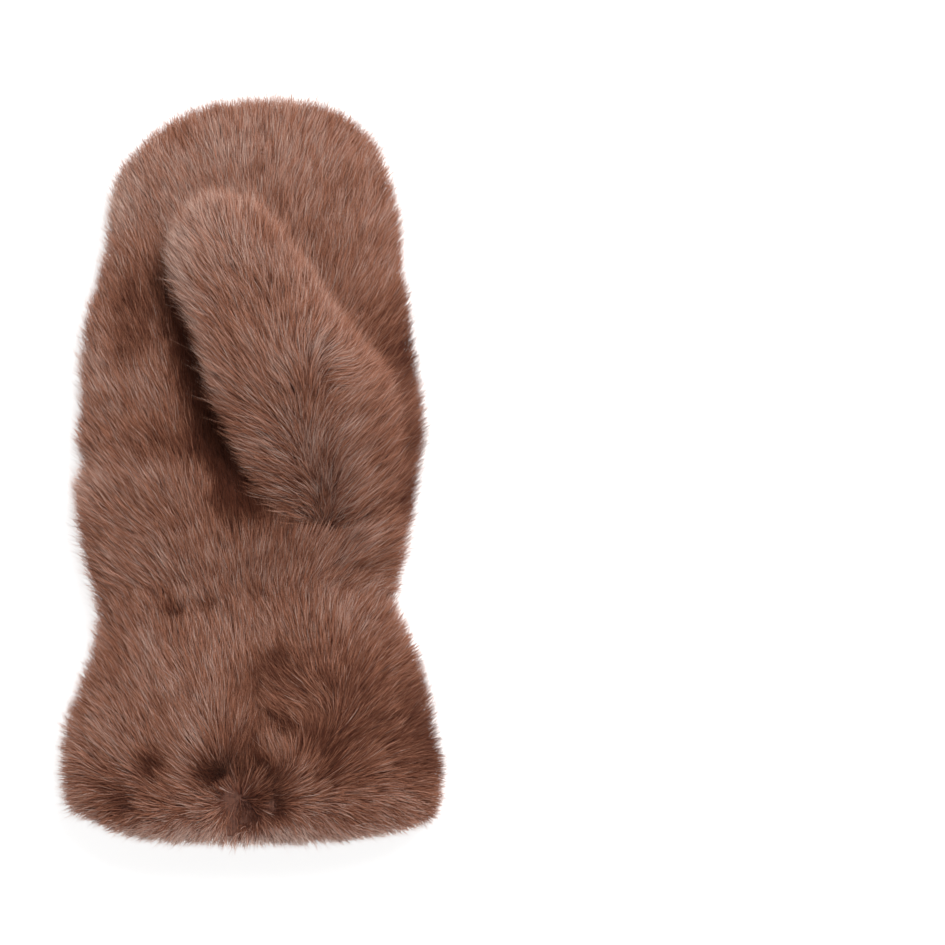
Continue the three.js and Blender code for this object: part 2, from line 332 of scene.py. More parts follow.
def wall(name, outer, inner, rims=True):
    # Two grids of points joined into one closed wall, with rims along their four edges
    first = np.arange(outer.shape[0] * outer.shape[1]).reshape(outer.shape[:2])
    second = first + first.size
    faces = [gridFaces(first), gridFaces(second)[:, ::-1]]
    if rims:
        edges = [(second[0], first[0]), (first[-1], second[-1]),
                 (first[:, 0], second[:, 0]), (second[:, -1], first[:, -1])]
        faces += [gridFaces(np.stack(edge)) for edge in edges]
    points = np.concatenate([outer.reshape(-1, 3), inner.reshape(-1, 3)])
    piece = addPiece(name, points, np.concatenate(faces))
    mergeDoubles(piece)
    return piece


def cut(piece, cutter, operation="DIFFERENCE"):
    # The piece less the cutter, or the part of it inside the cutter
    step = piece.modifiers.new("cut", "BOOLEAN")
    step.operation = operation
    step.solver = "EXACT"
    step.object = cutter
    shaped = piece.evaluated_get(bpy.context.evaluated_depsgraph_get())
    piece.data = bpy.data.meshes.new_from_object(shaped)
    piece.modifiers.clear()
    if not piece.data.polygons:
        raise RuntimeError(piece.name + " was cut away whole")


def discard(piece):
    # A cutter has done its work
    bpy.data.objects.remove(piece)


backingGrid = {
    "handRows": 64, "handColumns": 56, "thumbRows": 56, "thumbColumns": 56,
    "cuffRows": 60, "cuffColumns": 91,
    "turnGap": 0.004,  # left free at the side seam
    "pastWrist": 40,  # how far the hand's space goes on below the wrist, to cut the thumb there
}


def handBacking(name, turnFrom, turnTo):
    # One panel of the hand between the wrist seam and the fingertips
    along = np.linspace(mitten["wristSeam"] + mitten["seamGap"], tipAlong, backingGrid["handRows"])[:, None]
    gap = backingGrid["turnGap"]
    turn = np.linspace(turnFrom + gap, turnTo - gap, backingGrid["handColumns"])[None, :]
    along, turn = np.broadcast_arrays(along, turn)
    return wall(name, handSurface(along, turn), bodyPoint(along, turn, mitten["furWall"]))


hem = {
    "end": -136.4, "innerReach": 18,  # where the backing turns round, and how far the pile goes on inside
    "tone": 0.5, "litToneStart": -129, "litToneFade": 6,  # the pile round the hem is painted paler, a painted highlight where light catches its lip
    "start": -120, "fade": 10,  # where the hair begins to stray and to hang over the hem
}


def cuffProfile(insideEnd, rows):
    # Up the inside from insideEnd to the hem with a third of the rows, half a circle round the hem with a
    # sixth, and up the outside to the wrist with half
    lipRadius = (mitten["furWall"] - pile["palmDepth"]) / 2
    lipTurn = np.linspace(0, np.pi, rows // 6)
    top = mitten["wristSeam"] - mitten["seamGap"]
    inside = np.linspace(insideEnd, hem["end"] + lipRadius, rows // 3, endpoint=False)
    outside = np.linspace(hem["end"] + lipRadius, top, rows // 2)[1:]
    lip = hem["end"] + lipRadius - lipRadius * np.sin(lipTurn)
    along = np.concatenate([inside, lip, outside])
    share = np.concatenate([np.zeros(len(inside)), (1 - np.cos(lipTurn)) / 2, np.ones(len(outside))])
    return along[:, None], share[:, None]


def cuffPoint(along, share, turn):
    # share 0 is the inner face and 1 the outer face of the backing
    inset = mitten["furWall"] * (1 - share) + backingInset(along, turn) * share
    return bodyPoint(along, turn, inset)


def cuffBacking(name):
    # The cuff's wall as one closed ring round the wrist
    top = mitten["wristSeam"] - mitten["seamGap"]
    along, share = cuffProfile(top, backingGrid["cuffRows"])
    turn = np.linspace(0, 2 * np.pi, backingGrid["cuffColumns"])[None, :]
    points = cuffPoint(*np.broadcast_arrays(along, share, turn))
    index = np.arange(points.shape[0] * points.shape[1]).reshape(points.shape[:2])
    faces = gridFaces(np.concatenate([index, index[:1]]))
    piece = addPiece(name, points, faces)
    mergeDoubles(piece)
    return piece


def thumbForm(name, inset, hollow):
    # The thumb's closed form, with its hollow where one is asked for
    along = np.linspace(thumbStart, thumbStop, backingGrid["thumbRows"])[:, None]
    turn = np.linspace(0, 2 * np.pi, backingGrid["thumbColumns"] + 1)[None, :]
    along, turn = np.broadcast_arrays(along, turn)
    outer = thumbPoint(along, turn, inset if inset is not None else thumbInset(along, turn))
    if not hollow:
        index = np.arange(outer.shape[0] * outer.shape[1]).reshape(outer.shape[:2])
        piece = addPiece(name, outer, gridFaces(index))
        mergeDoubles(piece)
        return piece
    return wall(name, outer, thumbPoint(along, turn, mitten["furWall"]), rims=False)


def bodyForm(name, grown):
    # The space that the hand takes up, closed at both ends, grown past its backing
    foot = mitten["wristSeam"] - backingGrid["pastWrist"]
    along = np.linspace(foot, tipAlong, backingGrid["handRows"])[:, None]
    turn = np.linspace(0, 2 * np.pi, 2 * backingGrid["handColumns"])[None, :]
    along, turn = np.broadcast_arrays(along, turn)
    ring = handSurface(along, turn, grown)
    lid = np.broadcast_to(ring[:1].mean(axis=1, keepdims=True), ring[:1].shape)
    points = np.concatenate([lid, ring])
    index = np.arange(points.shape[0] * points.shape[1]).reshape(points.shape[:2])
    piece = addPiece(name, points, gridFaces(index))
    mergeDoubles(piece)
    return piece


seamBlock = {"length": 200, "width": 150, "low": -50, "high": 150}


def seamHalf(name, sign):
    # A big block on one side of the thumb's seam, half the seam's gap away from it
    (footX, footY), (topX, topY) = thumb["seamFoot"], thumb["seamTop"]
    run = np.array([topX - footX, topY - footY, 0]) / np.hypot(topX - footX, topY - footY)
    away = np.array([run[1], -run[0], 0]) * sign
    start = np.array([footX, footY, 0]) + away * mitten["seamGap"] / 2
    ends = itertools.product((-1, 1), (0, 1), (seamBlock["low"], seamBlock["high"]))
    corners = [start + run * a * seamBlock["length"] + away * b * seamBlock["width"] + np.array([0, 0, c])
               for a, b, c in ends]
    faces = np.array([[0, 1, 3, 2], [4, 6, 7, 5], [0, 4, 5, 1], [2, 3, 7, 6], [0, 2, 6, 4], [1, 5, 7, 3]])
    return addPiece(name, np.array(corners), faces if sign > 0 else faces[:, ::-1])


def makeBackings():
    # The five walls, the thumb's two cut free of the hand and the palm opened into the thumb
    palm = handBacking("hand_palm_backing", 0, np.pi)
    back = handBacking("hand_back_backing", np.pi, 2 * np.pi)
    cuff = cuffBacking("cuff_backing")
    thumbHollow = thumbForm("thumb_hollow", mitten["furWall"], hollow=False)
    cut(palm, thumbHollow)
    handSpace = bodyForm("hand_space", mitten["seamGap"])
    halves = []
    for name, sign in (("thumb_front_backing", -1), ("thumb_side_backing", 1)):
        piece = thumbForm(name, None, hollow=True)
        cut(piece, handSpace)
        block = seamHalf("seam_block", sign)
        cut(piece, block, "INTERSECT")
        discard(block)
        halves.append(piece)
    discard(thumbHollow)
    discard(handSpace)
    return {"hand_palm": palm, "hand_back": back, "cuff": cuff,
            "thumb_front": halves[0], "thumb_side": halves[1]}


# Which way the pile is brushed: guides at places seen from above, in millimetres, with the lean of the
# tips from straight up towards the left, in degrees

handGuides = {
    "x": [5, -27, -50, -51, -38, -57, -38, -61, -57, -61, -61, -53, -38, -38, -38, -20, -20, -20, -20, -5,
          11, 25, 35, 48, 46, 59, 26, 42, 50, 55, 36, 33, 48, 55, 59, 59, 53],
    "y": [135, 124, 113, 90, 90, 64, 64, 27, 8, -11, -33, -48, 27, -3, -26, 53, 27, -3, -30, -18,
          -35, -35, -33, -39, -24, -19, 133, 125, 113, 90, 101, 79, 71, 53, 27, -3, 12],
    "lean": [0, 18, 30, 27, 20, 27, 15, 25, 35, 45, 50, 50, 20, 30, 45, 10, 12, 12, 18, 8,
             -5, -25, -45, -70, -45, -37, -22, -38, -32, -38, -8, -10, -20, -35, -42, -42, -45],
}

thumbGuides = {
    "x": [-25, -20, -23, -14, -12, -1, -8, 3, 7, 12, 18, -5, 1, 4, 20, 29, 35, 36, 29, 44, 48, 44, 46,
          34],
    "y": [96, 92, 79, 64, 75, 64, 94, 92, 71, 79, 34, 34, 15, -11, -15, 64, 49, 38, 36, 47, 34, 19, -7,
          -15],
    "lean": [28, 35, 40, 40, 30, 25, 8, -3, 8, 0, 30, 35, 55, 57, 45, -8, -20, -47, -80, -30, -45, -35,
             -32, -40],
}

cuffGuides = {
    "x": [-63, -66, -71, -42, -27, -16, -8, -5, -1, -20, -38, -50, -31, -1, 9, 14, 18, 12, 20, 20, 25, 28,
          33, 41, 51, 54, 54, 61, 59, 68, 12, 18, 23, 28, 38, -61, -46, -23, -5, 14, 29, 44, 55, 63,
          -23, -42, 12, 28, 45],
    "y": [-67, -86, -110, -86, -78, -67, -78, -93, -101, -101, -101, -108, -112, -67, -64, -74, -70,
          -85, -89, -63, -71, -56, -68, -56, -64, -80, -89, -87, -115, -112, -106, -108, -111, -113, -104,
          -123, -129, -134, -136, -131, -129, -127, -123, -119,
          -120, -119, -119, -121, -120],
    "lean": [42, 50, 80, 30, 25, 12, 3, -8, -12, 30, 22, 45, 45, 2, 22, 32, 30, 40, 70, 0, 3, -10,
             -18, -30, -50, -60, -50, -42, -80, -88, 35, 5, -30, -50, -48, 105, 120, 140, 175,
             -150, -140, -125, -110, -100,
             60, 70, -60, -80, -90],
}


guideReach = 5


def brushedLean(points, guides):
    # The mean of the guides' directions, weighted by 1 / (distance^2 + guideReach^2)^2
    lean = np.radians(guides["lean"])
    apart = (points[:, :1] - np.array(guides["x"])) ** 2 + (points[:, 1:2] - np.array(guides["y"])) ** 2
    weight = 1 / (apart + guideReach ** 2) ** 2
    return np.arctan2(weight @ np.sin(lean), weight @ np.cos(lean))


backFan = {"lean": 38, "halfWidth": 60}


def backLean(points):
    # On the back the tips fan out towards both sides, in proportion to x
    return -np.radians(backFan["lean"]) * np.clip(points[:, 0] / backFan["halfWidth"], -1, 1)


waveKit = {"count": 14, "fewest": 0.6, "most": 1.6, "divisor": 4}


def waves(points, size, seed):
    # Smooth unevenness, mostly from -1 to 1: a sum of sine waves in all directions, with 0.6 to 1.6 waves
    # in each size, divided by 4
    rng = np.random.default_rng(seed)
    count = waveKit["count"]
    way = rng.normal(size=(3, count))
    often = rng.uniform(waveKit["fewest"], waveKit["most"], count)
    way *= 2 * np.pi / size * often / np.linalg.norm(way, axis=0)
    return np.sin(points @ way + rng.uniform(0, 2 * np.pi, count)).sum(axis=1) / waveKit["divisor"]


def unit(vectors):
    # Each vector divided by its length
    return vectors / np.maximum(np.linalg.norm(vectors, axis=-1, keepdims=True), 1e-9)


def sheetOf(points):
    # A grid of root places with the outward direction at each, from the products of its two slopes
    normals = unit(np.cross(np.gradient(points, axis=0), np.gradient(points, axis=1)))
    return {"points": points, "normals": normals}


def scatterRoots(sheet, count, rng):
    # Grid cells drawn in proportion to their area, then a place in each cell between its corners
    points, normals = sheet["points"], sheet["normals"]
    down = points[1:, :-1] - points[:-1, :-1]
    across = points[:-1, 1:] - points[:-1, :-1]
    area = np.linalg.norm(np.cross(down, across), axis=-1)
    share = np.cumsum(area.ravel())
    cell = np.searchsorted(share, rng.uniform(0, share[-1], count))
    i, j = np.unravel_index(np.minimum(cell, share.size - 1), area.shape)
    a, b = rng.uniform(size=(2, count, 1))

    def between(grid):
        # The four corners' values, weighted by how near the place is to each
        near = grid[i, j] * (1 - b) + grid[i, j + 1] * b
        far = grid[i + 1, j] * (1 - b) + grid[i + 1, j + 1] * b
        return near * (1 - a) + far * a

    return between(points), unit(between(normals))


lattice = {
    "ways": np.array([  # any uneven numbers, which shake the lattice
        [12.99, 39.35, 73.16, 26.65],
        [78.23, 11.14, 52.24, 45.16],
        [37.72, 83.16, 9.15, 94.67],
    ]),
    "scale": 43758.5453, "edge": 0.1, "room": 0.8,  # a middle stays so far from its cell's edge
    "names": (1, 4096, 4096 ** 2),  # steps in the number of a cell, one per axis
}
lockPower = 1.5


def lockOf(points, spacing, seed):
    # Each point's nearest middle in a shaken 3-D lattice, as a lock's number, and a mark from 0 to 1 for it
    cell = np.floor(points / spacing)
    nearest = np.full(len(points), np.inf)
    mark = np.zeros(len(points))
    name = np.zeros(len(points))
    for step in itertools.product((-1, 0, 1), repeat=3):
        key = cell + step
        shake = np.sin(key @ lattice["ways"] + seed) * lattice["scale"]
        shake = shake - np.floor(shake)
        middle = (key + lattice["edge"] + lattice["room"] * shake[:, :3]) * spacing
        apart = ((points - middle) ** 2).sum(axis=1)
        mark = np.where(apart < nearest, shake[:, 3], mark)
        name = np.where(apart < nearest, key @ lattice["names"], name)
        nearest = np.minimum(apart, nearest)
    return np.unique(name, return_inverse=True)[1], mark


def gather(curves, lock, pull):
    # Each hair is drawn towards the mean curve of its lock, more and more from root to tip: by its pull
    # times s^lockPower
    total = np.zeros((lock.max() + 1,) + curves.shape[1:])
    np.add.at(total, lock, curves)
    mean = total / np.bincount(lock)[:, None, None]
    s = np.linspace(0, 1, curves.shape[1])[None, :, None]
    return curves + pull[:, None, None] * s ** lockPower * (mean[lock] - curves)


lightShadeAndTonePatches = {  # paler and darker places on the palm side: mostly painted light and shade (lit tops and edges, shaded edges, shade beside the thumb), partly the pile's own tone. Middle, reach and tone
    "x": [12, -22, 5, 43, 6, 14, -43, -43, -19, 55, 54, 57, 30, 58, -33, 61, 1, 42, 25, -67, -66, -5,
          -48, 26, 66, 58],
    "y": [-104, 88, 118, -86, -88, -77, 58, 42, 0, 54, 34, -14, -11, 8, 5, -107, -108, 128, 37, 28,
          -16, -22, 94, -108, -80, 86],
    "reach": [7, 16, 30, 20, 11, 8, 8, 8, 8, 12, 12, 12, 9, 9, 8, 14, 9, 11, 9, 12, 12, 9, 12, 11, 8, 9],
    "tone": [0.35, 0.2, 0.12, -0.3, -0.35, -0.4, -0.4, -0.35, -0.45, -0.35, -0.5, -0.5, 0.12, -0.4,
             -0.35, -0.42, -0.45, -0.35, 0.25, 0.4, 0.3, -0.35, 0.35, -0.4, -0.4, -0.3],
}


def paintedLightAndTone(points):
    # The painted light and shade on the pile, with some of its own tone: the sum of the patches' bells and
    # the hem painted paler, less a bell of painted shade for each pit, with the crease beside the thumb
    # painted dark below and painted pale on the thumb's own edge
    above = points[:, 2] - thumbCrease["level"]
    near = creasePlace(points)[1]
    # Painted highlight on the thumb's edge above the crease level, then painted shade in the crease below
    # it
    total = thumbCrease["paintedHighlight"] * near * np.clip(above / thumbCrease["highlightFade"], 0, 1)
    total -= thumbCrease["paintedShade"] * creaseShare(points) * np.clip(-above / thumbCrease["shadeFade"], 0, 1)
    for x, y, reach, tone in zip(*lightShadeAndTonePatches.values()):
        total += tone * bell(points[:, 0] - x, reach) * bell(points[:, 1] - y, reach)
    total += hem["tone"] * np.clip((hem["litToneStart"] - points[:, 1]) / hem["litToneFade"], 0, 1)
    return total - pitSum(points[:, 0], points[:, 1], "dark")


habit = {  # how hair differs from place to place in every style; lengths of waves in millimetres
    "swayWaves": (16, 6),
    "pitStray": 3, "hemStray": 1.2,  # how much more it strays in the pits and round the hem
    "liftWave": 11, "liftSway": 5, "liftStray": 4,  # how unevenly it is lifted, in degrees
    "carry": 0.45,  # how far hair brushed across an edge stands out over it
    "edgeHold": 0.8,  # and how much less it falls over there
    "droop": 0.45, "hemDroop": 0.5,  # how far the tips hang down at the sides and round the hem
    "toneWave": 30, "toneSway": 0.08, "middleTone": 0.5,
    "floorGap": 0.2, "floorSpread": 0.5,  # the tips stay so far above the floor, and up to so much more
    "sideWidth": 0.65,  # of blades at the sides, as a share of the width on top
}

lengths = {
    "wave": 9, "sway": 0.1, "least": 0.3,
    "overEdge": 0.4, "atHem": 0.4, "hemStart": -116, "hemFade": 14,  # how much shorter it is there
    "inCrease": 0.45, "creaseTop": 50, "inPit": 0.2,
    "inWeb": 0.25,  # and how much longer by the thumb's side piece and at the thumb's foot
    "atFoot": 0.45, "footX": 30, "footY": -31, "footWide": 13, "footLong": 7,
}


def fitLength(length, root, outward, inPit):
    # The length times a factor for each of those places: 1 less or plus its value, times how far the hair
    # is in that place
    atHem = np.clip((lengths["hemStart"] - root[:, 1]) / lengths["hemFade"], 0, 1)
    inCrease = creaseShare(root) * (root[:, 2] < lengths["creaseTop"])
    footX = bell(root[:, 0] - lengths["footX"], lengths["footWide"])
    footY = bell(root[:, 1] - lengths["footY"], lengths["footLong"])
    length = length * ((1 - lengths["overEdge"] * np.clip(outward, 0, 1)) * (1 - lengths["atHem"] * atHem))
    length *= (1 + lengths["inWeb"] * webShare(root)) * (1 - lengths["inCrease"] * inCrease)
    return length * ((1 - lengths["inPit"] * inPit) * (1 + lengths["atFoot"] * footX * footY))


def growHair(sheet, style, leanAt, seed, keep=None):
    # A hair leaves its root along the brushed direction, lifted from the surface, and falls over:
    # p(s) = root + length (start s + (finish - start) s^2 / 2)
    rng = np.random.default_rng(seed)
    root, normal = scatterRoots(sheet, style["count"], rng)
    kept = np.abs(normal[:, 2]) <= style["steepest"]
    if keep is not None:
        kept &= keep(root, normal)
    root, normal = root[kept], normal[kept]
    count = len(root)
    inPit = np.clip(pitSum(root[:, 0], root[:, 1], "dark"), 0, 1) * (normal[:, 2] > 0)
    atHem = np.clip((hem["start"] - root[:, 1]) / hem["fade"], 0, 1) * np.clip(1 + 4 * normal[:, 2], 0, 1)
    sway = sum(waves(root, size, seed + i) for i, size in enumerate(habit["swayWaves"], 1))
    mess = 1 + habit["pitStray"] * inPit + habit["hemStray"] * atHem
    stray = style["stray"] * mess * rng.normal(size=count)
    lean = leanAt(root) + np.radians(stray + style["sway"] * sway)
    ahead = np.stack([-np.sin(lean), np.cos(lean), np.zeros(count)], -1)
    outward = (ahead * normal).sum(axis=1, keepdims=True)
    level = ahead - outward * normal
    level = np.where(outward < 0, unit(level), level)
    flatness = np.abs(normal[:, 2])
    lift = style["sideLift"] + (style["lift"] - style["sideLift"]) * flatness
    lift = lift + habit["liftSway"] * waves(root, habit["liftWave"], seed + 3)
    lift = np.radians(lift + habit["liftStray"] * rng.normal(size=count))[:, None]
    carried = habit["carry"] * np.maximum(outward, 0) * normal
    start = unit(np.cos(lift) * (level + carried) + np.sin(lift) * normal)
    rise = (start * normal).sum(axis=1, keepdims=True)
    fall = style["fall"] * (1 - habit["edgeHold"] * np.clip(outward, 0, 1))
    finish = start - fall * rise * normal + style["curl"] * rng.normal(size=(count, 3))
    finish[:, 2] -= habit["droop"] * (1 - flatness) + habit["hemDroop"] * atHem
    finish = unit(finish)
    length = 1 + lengths["sway"] * waves(root, lengths["wave"], seed + 4)
    length = np.maximum(length + style["uneven"] * rng.normal(size=count), lengths["least"])
    length = fitLength(style["length"] * length, root, outward[:, 0], inPit)
    s = np.linspace(0, 1, style["rings"])[None, :, None]
    bend = (finish - start)[:, None] * s ** 2 / 2
    curves = root[:, None] + length[:, None, None] * (start[:, None] * s + bend)
    tone = habit["middleTone"] + style["hairTone"] * rng.normal(size=count)
    tone += habit["toneSway"] * waves(root, habit["toneWave"], seed + 5)
    # Painted light and shade, with some of the pile's own tone, on the upward faces
    tone += paintedLightAndTone(root) * (normal[:, 2] > 0)
    for spacing, pull, toneShare in style["locks"]:
        lock, mark = lockOf(root, spacing, seed)
        curves = gather(curves, lock, pull * flatness ** 2)
        tone += toneShare * (mark - 0.5)
    lowest = habit["floorGap"] + habit["floorSpread"] * rng.uniform(size=(count, 1))
    curves[..., 2] = np.maximum(curves[..., 2], lowest)
    roll = np.radians(style["roll"]) * rng.uniform(-1, 1, count)
    width = style["width"] * (habit["sideWidth"] + (1 - habit["sideWidth"]) * flatness)
    return {"curves": curves, "normal": normal, "tone": tone, "roll": roll, "width": width}


def hairPiece(name, tufts):
    # All tufts as one mesh: quads between the rings of each blade and a triangle at its tip
    parts = [bladePoints(tuft) for tuft in tufts]
    points = np.concatenate([part[0] for part in parts])
    maps = np.concatenate([part[1] for part in parts])
    loops, starts, offset, loopOffset = [], [], 0, 0
    for tuft in tufts:
        count, rings = tuft["curves"].shape[:2]
        pattern = [[2 * k, 2 * k + 1, 2 * k + 3, 2 * k + 2] for k in range(rings - 2)]
        sizes = [4] * (rings - 2) + [3]
        pattern = np.array(sum(pattern, []) + [2 * rings - 4, 2 * rings - 3, 2 * rings - 2])
        loops.append((np.arange(count)[:, None] * (2 * rings - 1) + pattern + offset).ravel())
        begin = np.concatenate([[0], np.cumsum(sizes)[:-1]])
        starts.append((np.arange(count)[:, None] * len(pattern) + begin + loopOffset).ravel())
        offset += count * (2 * rings - 1)
        loopOffset += count * len(pattern)
    loops, starts = np.concatenate(loops).astype(np.int32), np.concatenate(starts).astype(np.int32)
    mesh = bpy.data.meshes.new(name)
    mesh.vertices.add(len(points))
    mesh.vertices.foreach_set("co", (points * mm).astype(np.float32).ravel())
    mesh.loops.add(len(loops))
    mesh.loops.foreach_set("vertex_index", loops)
    mesh.polygons.add(len(starts))
    mesh.polygons.foreach_set("loop_start", starts)
    mesh.update(calc_edges=True)
    mesh.shade_smooth()
    layer = mesh.uv_layers.new(name="OFBake")
    layer.uv.foreach_set("vector", maps[loops].astype(np.float32).ravel())
    piece = bpy.data.objects.new(name, mesh)
    bpy.context.scene.collection.objects.link(piece)
    mesh.calc_loop_triangles()
    print(name, "triangles", len(mesh.loop_triangles))
    return piece


blade = {"taper": 0.85, "toneEdge": 0.02, "mapEdge": 0.03}  # the edges keep the map inside its square


def bladePoints(tuft):
    # Flat tapered blades: at each ring the curve plus and minus half the width times 1 - taper s, and one
    # point at the tip. The map holds the tone across and the place along the hair upwards
    curves = tuft["curves"]
    count, rings = curves.shape[:2]
    tangent = unit(np.gradient(curves, axis=1))
    normal = np.broadcast_to(tuft["normal"][:, None], curves.shape)
    side = unit(np.cross(normal, tangent))
    up = np.cross(tangent, side)
    roll = tuft["roll"][:, None, None]
    across = np.cos(roll) * side + np.sin(roll) * up
    s = np.linspace(0, 1, rings)
    half = tuft["width"][:, None, None] / 2 * (1 - blade["taper"] * s)[None, :-1, None]
    pairs = np.stack([curves[:, :-1] + half * across[:, :-1], curves[:, :-1] - half * across[:, :-1]], 2)
    points = np.concatenate([pairs.reshape(count, -1, 3), curves[:, -1:]], 1).reshape(-1, 3)
    along = np.concatenate([np.repeat(s[:-1], 2), [1]])
    tone = np.clip(tuft["tone"], blade["toneEdge"], 1 - blade["toneEdge"])[:, None]
    height = blade["mapEdge"] + (1 - 2 * blade["mapEdge"]) * along[None]
    maps = np.stack(np.broadcast_arrays(tone, height), -1).reshape(-1, 2)
    return points, maps


# Finishes

def linear(red, green, blue):
    # A colour in 0 to 255 display values as linear light
    share = np.array([red, green, blue]) / 255
    light = np.where(share <= 0.04045, share / 12.92, ((share + 0.055) / 1.055) ** 2.4)
    return (*light.tolist(), 1)


furColours = {
    # The dark end is partly the pile's own dark hair and partly painted shade for the crease and pits; the
    # pale end is partly its own ashy hair and partly a painted sheen
    "dark": linear(90, 45, 28), "middle": linear(184, 124, 97), "pale": linear(222, 194, 180),
    "root": linear(116, 70, 52), "rootShadeEnd": 0.75,  # hair is painted darker up to this share of its length, as shade deep in the pile
    "rough": 0.62, "gloss": 0.18, "sheen": 0.08, "sheenRough": 0.5, "sheenTint": linear(230, 200, 185),
}

backingLook = {
    # The backing's dark brown is partly its own colour and partly painted shade, so the pile's depths and
    # pits look shaded
    "colour": linear(48, 28, 22), "cloudScale": 900, "ribScale": 260, "ribDistortion": 1.5,
    "bump": 0.5, "bumpHeight": 0.4 * mm, "rough": 0.85,
}


def colourGroup():
    # Colour of a hair from its tone and the place along it: a ramp over the tone, with painted shade
    # darkening it towards the root
    group = bpy.data.node_groups.new("hairColour", "ShaderNodeTree")
    group.interface.new_socket("Tone", in_out="INPUT", socket_type="NodeSocketFloat")
    group.interface.new_socket("Along", in_out="INPUT", socket_type="NodeSocketFloat")
    group.interface.new_socket("Color", in_out="OUTPUT", socket_type="NodeSocketColor")
    nodes, links = group.nodes, group.links
    taken = nodes.new("NodeGroupInput")
    given = nodes.new("NodeGroupOutput")
    ramp = nodes.new("ShaderNodeValToRGB")
    ramp.color_ramp.elements[0].color = furColours["dark"]
    ramp.color_ramp.elements[1].color = furColours["pale"]
    ramp.color_ramp.elements.new(0.5).color = furColours["middle"]
    shade = nodes.new("ShaderNodeValToRGB")
    shade.color_ramp.elements[0].color = furColours["root"]
    shade.color_ramp.elements[1].color = (1, 1, 1, 1)
    shade.color_ramp.elements[1].position = furColours["rootShadeEnd"]
    darken = nodes.new("ShaderNodeVectorMath")
    darken.operation = "MULTIPLY"
    links.new(taken.outputs["Tone"], ramp.inputs["Fac"])
    links.new(taken.outputs["Along"], shade.inputs["Fac"])
    links.new(ramp.outputs["Color"], darken.inputs[0])
    links.new(shade.outputs["Color"], darken.inputs[1])
    links.new(darken.outputs["Vector"], given.inputs["Color"])
    return group


def newMaterial(name):
    # A material with its nodes, its links and its shader
    material = bpy.data.materials.new(name)
    material.use_nodes = True
    nodes, links = material.node_tree.nodes, material.node_tree.links
    return material, nodes, links, nodes["Principled BSDF"]


def furMaterial(group):
    # The pile's colour from each blade's map: tone across it, and place along the hair upwards
    material, nodes, links, shader = newMaterial("brownPile")
    place = nodes.new("ShaderNodeUVMap")
    place.uv_map = "OFBake"
    parts = nodes.new("ShaderNodeSeparateXYZ")
    colour = nodes.new("ShaderNodeGroup")
    colour.node_tree = group
    links.new(place.outputs["UV"], parts.inputs["Vector"])
    links.new(parts.outputs["X"], colour.inputs["Tone"])
    links.new(parts.outputs["Y"], colour.inputs["Along"])
    links.new(colour.outputs["Color"], shader.inputs["Base Color"])
    shader.inputs["Roughness"].default_value = furColours["rough"]
    shader.inputs["Specular IOR Level"].default_value = furColours["gloss"]
    shader.inputs["Sheen Weight"].default_value = furColours["sheen"]
    shader.inputs["Sheen Roughness"].default_value = furColours["sheenRough"]
    shader.inputs["Sheen Tint"].default_value = furColours["sheenTint"]
    return material


def backingMaterial():
    # Knitted backing: fine wavy ribs, with uneven tone, its dark brown partly painted shade under the pile
    material, nodes, links, shader = newMaterial("brownBacking")
    place = nodes.new("ShaderNodeTexCoord")
    cloud = nodes.new("ShaderNodeTexNoise")
    cloud.inputs["Scale"].default_value = backingLook["cloudScale"]
    ramp = nodes.new("ShaderNodeValToRGB")
    ramp.color_ramp.elements[0].color = furColours["root"]
    ramp.color_ramp.elements[1].color = backingLook["colour"]
    rib = nodes.new("ShaderNodeTexWave")
    rib.inputs["Scale"].default_value = backingLook["ribScale"]
    rib.inputs["Distortion"].default_value = backingLook["ribDistortion"]
    bump = nodes.new("ShaderNodeBump")
    bump.inputs["Strength"].default_value = backingLook["bump"]
    bump.inputs["Distance"].default_value = backingLook["bumpHeight"]
    links.new(place.outputs["Object"], cloud.inputs["Vector"])
    links.new(place.outputs["Object"], rib.inputs["Vector"])
    links.new(cloud.outputs["Fac"], ramp.inputs["Fac"])
    links.new(ramp.outputs["Color"], shader.inputs["Base Color"])
    links.new(rib.outputs["Fac"], bump.inputs["Height"])
    links.new(bump.outputs["Normal"], shader.inputs["Normal"])
    shader.inputs["Roughness"].default_value = backingLook["rough"]
    return material


# The piles of hair, by panel

underfur = {
    "rings": 3, "length": 11, "uneven": 0.24, "width": 0.29, "lift": 20, "sideLift": 34,
    "fall": 0.8, "stray": 12, "sway": 7, "curl": 0.2, "roll": 75, "hairTone": 0.17,
    "locks": [(1.2, 0.45, 0.3), (2.5, 0.3, 0.22), (5, 0.15, 0.2)],  # spacing, pull and tone of the locks
    "steepest": 1,  # grows only where the surface's outward direction is no nearer to upright than this
}

strayHair = dict(underfur, rings=4, length=17, width=0.11, lift=34, sideLift=48, curl=0.3,
                 stray=16, locks=[(5, 0.1, 0.1)])
guardHair = dict(underfur, rings=4, length=13, width=0.22, lift=24, curl=0.25)
edgeHair = dict(underfur, length=9, width=0.12, lift=30, sideLift=45, curl=0.35, stray=20,
                uneven=0.35, locks=[(3, 0.1, 0.1)], steepest=0.6)  # fine hair round the outline only

print("forms ready")
backings = makeBackings()
hairColour = colourGroup()
backingFinish = backingMaterial()
for node, piece in backings.items():
    piece.data.materials.clear()
    piece.data.materials.append(backingFinish)
    piece.data.shade_smooth()
    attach(piece, "root")
    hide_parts(node)
    piece.data.calc_loop_triangles()
    print(piece.name, "triangles", len(piece.data.loop_triangles))


sheetGrid = {"rows": 300, "cuffRows": 360, "columns": 300, "endGap": 0.5}


